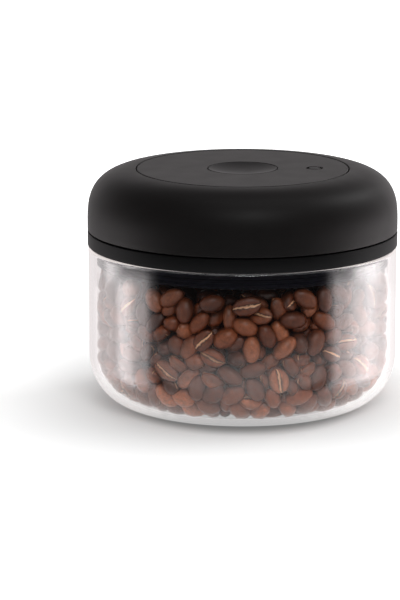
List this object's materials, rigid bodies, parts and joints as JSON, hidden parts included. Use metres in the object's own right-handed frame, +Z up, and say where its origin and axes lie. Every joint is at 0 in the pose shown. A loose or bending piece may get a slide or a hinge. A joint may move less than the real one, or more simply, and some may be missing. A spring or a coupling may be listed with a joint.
{
  "type": "vacuum coffee canister",
  "caption": "Glass storage jar with a domed twist-to-pump vacuum lid, a dished release button and a vacuum indicator pin.",
  "frame": {"origin": "middle of the jar's foot, on the surface that it stands on", "axes": "+Z up along the jar's axis; -Y is the side that the picture shows; +X passes through the indicator pin"},
  "size_m": [0.12, 0.12, 0.0919],
  "materials": {
    "jar_glass": "clear moulded soda-lime glass, polished",
    "lid_plastic": "soft-touch black moulded plastic, matte",
    "ring_plastic": "black moulded plastic, fine satin",
    "button_plastic": "black moulded plastic, satin",
    "gasket_silicone": "black silicone, satin",
    "inner_plastic": "natural acetal, satin",
    "frame_plastic": "dark grey moulded plastic, satin",
    "valve_silicone": "red-brown silicone, satin",
    "seal_rubber": "black rubber O-ring",
    "steel": "stainless steel, bright",
    "filter_felt": "pale felt filter pad"
  },
  "bodies": {
    "jar": {"glass_jar": "jar_glass"},
    "lid": {"lid_base": "ring_plastic", "lid_gasket": "gasket_silicone", "chassis": "frame_plastic", "frame_screws": "steel", "top_disc": "lid_plastic", "disc_screws": "steel", "glide_ring": "inner_plastic", "intake_valve_front": "valve_silicone", "intake_valve_back": "valve_silicone", "button_spring": "steel", "indicator_spring": "steel", "indicator_cap": "inner_plastic", "underside_cover": "ring_plastic", "intake_filters": "filter_felt"},
    "shell": {"twist_shell": "lid_plastic", "cam_ring": "inner_plastic", "cam_screws": "steel"},
    "front_pump": {"piston_front": "inner_plastic", "piston_seal_front": "seal_rubber", "follower_pin_front": "steel", "exhaust_valve_front": "valve_silicone"},
    "back_pump": {"piston_back": "inner_plastic", "piston_seal_back": "seal_rubber", "follower_pin_back": "steel", "exhaust_valve_back": "valve_silicone"},
    "button": {"release_button": "button_plastic", "release_stem": "inner_plastic", "release_seal": "valve_silicone"},
    "indicator": {"indicator_pin": "button_plastic", "indicator_seal": "seal_rubber"}
  },
  "joints": [
    {"name": "lid_lift", "type": "slide", "parent": "jar", "child": "lid", "axis": [0, 0, 1], "range_m": [0, 0.06]},
    {"name": "shell_twist", "type": "hinge", "parent": "lid", "child": "shell", "pos_m": [0, 0, 0.08], "axis": [0, 0, 1], "range_deg": [-30, 30]},
    {"name": "front_piston_slide", "type": "slide", "parent": "lid", "child": "front_pump", "axis": [0, 0, 1], "range_m": [-0.003, 0.003]},
    {"name": "back_piston_slide", "type": "slide", "parent": "lid", "child": "back_pump", "axis": [0, 0, 1], "range_m": [-0.003, 0.003]},
    {"name": "button_press", "type": "slide", "parent": "lid", "child": "button", "axis": [0, 0, -1], "range_m": [0, 0.002], "stiffness_N_per_m": 600, "springref_m": -0.004, "deforming": ["button_spring"]},
    {"name": "indicator_drop", "type": "slide", "parent": "lid", "child": "indicator", "axis": [0, 0, -1], "range_m": [0, 0.002], "stiffness_N_per_m": 150, "springref_m": -0.003, "deforming": ["indicator_spring"]}
  ],
  "couplings": [
    {"joint": "front_piston_slide", "follows": "shell_twist", "m_per_rad": 0.005729},
    {"joint": "back_piston_slide", "follows": "shell_twist", "m_per_rad": -0.005729}
  ]
}
